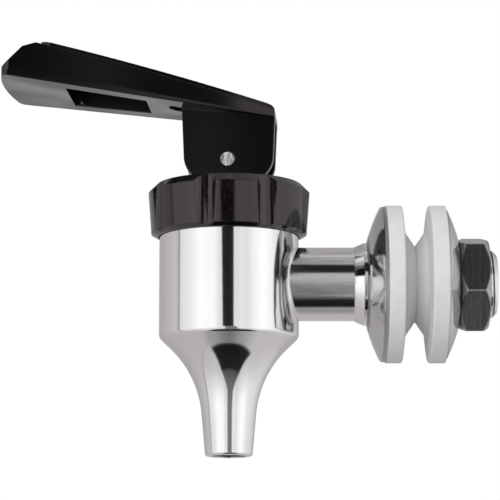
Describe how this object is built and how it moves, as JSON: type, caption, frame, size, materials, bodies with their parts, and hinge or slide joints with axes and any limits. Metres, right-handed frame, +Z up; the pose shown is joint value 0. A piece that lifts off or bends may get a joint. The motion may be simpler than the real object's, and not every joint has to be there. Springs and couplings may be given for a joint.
{
  "type": "beverage dispenser spigot",
  "caption": "Push-lever spigot with a polished steel body and spout, a fluted screw cap, and a threaded shank with dished washers, silicone seals and a hexagon nut.",
  "frame": {"origin": "on the shank axis in the wall plane, where the tips of the two silicone bosses meet", "axes": "+X runs out of the threaded end into the vessel, +Z is up, and the lever's free end points to -X"},
  "size_m": [0.1169, 0.0385, 0.0968],
  "materials": {
    "stainless": "mirror polished stainless steel",
    "black_cap": "gloss black moulded plastic",
    "black_lever": "gloss black moulded plastic",
    "black_plate": "satin black moulded plastic",
    "pin_steel": "plain drawn steel with a cut end",
    "stem_plastic": "natural white moulded plastic",
    "spring_steel": "drawn stainless wire and sheet",
    "cup_silicone": "soft matte silicone",
    "dish_steel": "pressed and polished stainless sheet",
    "silicone": "semi-matte off-white silicone",
    "nut_steel": "machined stainless steel"
  },
  "bodies": {
    "valve": {"valve_body": "stainless", "bonnet_cap": "black_cap", "seat_cup": "cup_silicone", "spring": "spring_steel", "front_dish_washer": "dish_steel", "front_silicone_washer": "silicone", "rear_silicone_washer": "silicone", "rear_dish_washer": "dish_steel", "hex_nut": "nut_steel"},
    "lift": {"spring_washer": "spring_steel"},
    "stem": {"stem": "stem_plastic", "hinge_pin": "pin_steel"},
    "handle": {"lever": "black_lever", "lever_top_plate": "black_plate"}
  },
  "joints": [
    {"name": "stem_lift", "type": "slide", "parent": "valve", "child": "lift", "axis": [0, 0, 1], "range_m": [0, 0.00245], "stiffness_N_per_m": 500, "springref_m": -0.005, "deforming": ["spring", "seat_cup"]},
    {"name": "handle_swivel", "type": "hinge", "parent": "lift", "child": "stem", "pos_m": [-0.0438, 0, 0], "axis": [0, 0, 1], "continuous": true},
    {"name": "handle_tilt", "type": "hinge", "parent": "stem", "child": "handle", "pos_m": [-0.0438, 0, 0.02895], "axis": [-0.0593, -0.9982, 0], "range_deg": [0, 32.5]}
  ],
  "couplings": [
    {"joint": "handle_tilt", "follows": "stem_lift", "rad_per_m": 227.27}
  ]
}
